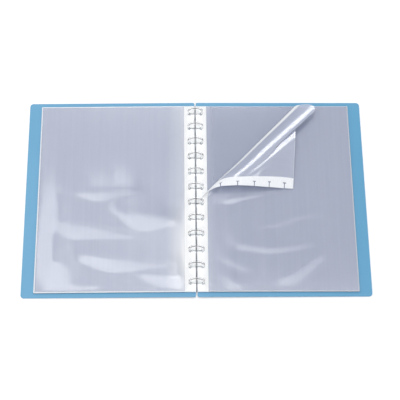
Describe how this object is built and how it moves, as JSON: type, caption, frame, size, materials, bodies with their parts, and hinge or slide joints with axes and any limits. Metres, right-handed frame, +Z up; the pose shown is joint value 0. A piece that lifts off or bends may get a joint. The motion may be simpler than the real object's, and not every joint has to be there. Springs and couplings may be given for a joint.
{
  "type": "pocket display book",
  "caption": "Open pocket display book: plastic covers and film pockets on slotted strips that turn on a row of clear binding discs, with the top pocket's corner peeled off and folded over.",
  "frame": {"origin": "on the table under the middle of the spine", "axes": "+X towards the back cover, +Y along the spine towards the pockets' open ends, +Z up"},
  "size_m": [0.5078, 0.318, 0.0238],
  "materials": {
    "blue_cover": "translucent satin polypropylene",
    "clear_film": "clear glossy film",
    "white_strip": "white satin polypropylene",
    "clear_disc": "clear moulded plastic"
  },
  "bodies": {
    "binding_discs": {"binding_discs": "clear_disc"},
    "front_cover": {"front_cover": "blue_cover"},
    "back_cover": {"back_cover": "blue_cover"},
    "pocket_01": {"pocket_01_binding_strip": "white_strip", "pocket_01_front_film": "clear_film", "pocket_01_back_film": "clear_film"},
    "pocket_02": {"pocket_02_binding_strip": "white_strip", "pocket_02_front_film": "clear_film", "pocket_02_back_film": "clear_film"},
    "pocket_03": {"pocket_03_binding_strip": "white_strip", "pocket_03_front_film": "clear_film", "pocket_03_back_film": "clear_film"},
    "pocket_04": {"pocket_04_binding_strip": "white_strip", "pocket_04_front_film": "clear_film", "pocket_04_back_film": "clear_film"},
    "pocket_05": {"pocket_05_binding_strip": "white_strip", "pocket_05_front_film": "clear_film", "pocket_05_back_film": "clear_film"},
    "pocket_06": {"pocket_06_binding_strip": "white_strip", "pocket_06_front_film": "clear_film", "pocket_06_back_film": "clear_film"},
    "pocket_07": {"pocket_07_binding_strip": "white_strip", "pocket_07_front_film": "clear_film", "pocket_07_back_film": "clear_film"},
    "pocket_08": {"pocket_08_binding_strip": "white_strip", "pocket_08_front_film": "clear_film", "pocket_08_back_film": "clear_film"},
    "pocket_09": {"pocket_09_binding_strip": "white_strip", "pocket_09_front_film": "clear_film", "pocket_09_back_film": "clear_film"},
    "pocket_10": {"pocket_10_binding_strip": "white_strip", "pocket_10_front_film": "clear_film", "pocket_10_back_film": "clear_film"}
  },
  "joints": [
    {"name": "front_cover_turn", "type": "hinge", "parent": "binding_discs", "child": "front_cover", "pos_m": [0, 0, 0.0119], "axis": [0, 1, 0], "range_deg": [0, 180]},
    {"name": "pocket_01_turn", "type": "hinge", "parent": "front_cover", "child": "pocket_01", "pos_m": [0, 0, 0.0119], "axis": [0, 1, 0], "range_deg": [0, 180]},
    {"name": "pocket_02_turn", "type": "hinge", "parent": "pocket_01", "child": "pocket_02", "pos_m": [0, 0, 0.0119], "axis": [0, 1, 0], "range_deg": [0, 180]},
    {"name": "pocket_03_turn", "type": "hinge", "parent": "pocket_02", "child": "pocket_03", "pos_m": [0, 0, 0.0119], "axis": [0, 1, 0], "range_deg": [0, 180]},
    {"name": "pocket_04_turn", "type": "hinge", "parent": "pocket_03", "child": "pocket_04", "pos_m": [0, 0, 0.0119], "axis": [0, 1, 0], "range_deg": [0, 180]},
    {"name": "pocket_05_turn", "type": "hinge", "parent": "pocket_04", "child": "pocket_05", "pos_m": [0, 0, 0.0119], "axis": [0, 1, 0], "range_deg": [0, 180]},
    {"name": "back_cover_turn", "type": "hinge", "parent": "binding_discs", "child": "back_cover", "pos_m": [0, 0, 0.0119], "axis": [0, 1, 0], "range_deg": [-180, 0]},
    {"name": "pocket_10_turn", "type": "hinge", "parent": "back_cover", "child": "pocket_10", "pos_m": [0, 0, 0.0119], "axis": [0, 1, 0], "range_deg": [-180, 0]},
    {"name": "pocket_09_turn", "type": "hinge", "parent": "pocket_10", "child": "pocket_09", "pos_m": [0, 0, 0.0119], "axis": [0, 1, 0], "range_deg": [-180, 0]},
    {"name": "pocket_08_turn", "type": "hinge", "parent": "pocket_09", "child": "pocket_08", "pos_m": [0, 0, 0.0119], "axis": [0, 1, 0], "range_deg": [-180, 0]},
    {"name": "pocket_07_turn", "type": "hinge", "parent": "pocket_08", "child": "pocket_07", "pos_m": [0, 0, 0.0119], "axis": [0, 1, 0], "range_deg": [-180, 0]},
    {"name": "pocket_06_turn", "type": "hinge", "parent": "pocket_07", "child": "pocket_06", "pos_m": [0, 0, 0.0119], "axis": [0, 1, 0], "range_deg": [-180, 0]}
  ]
}
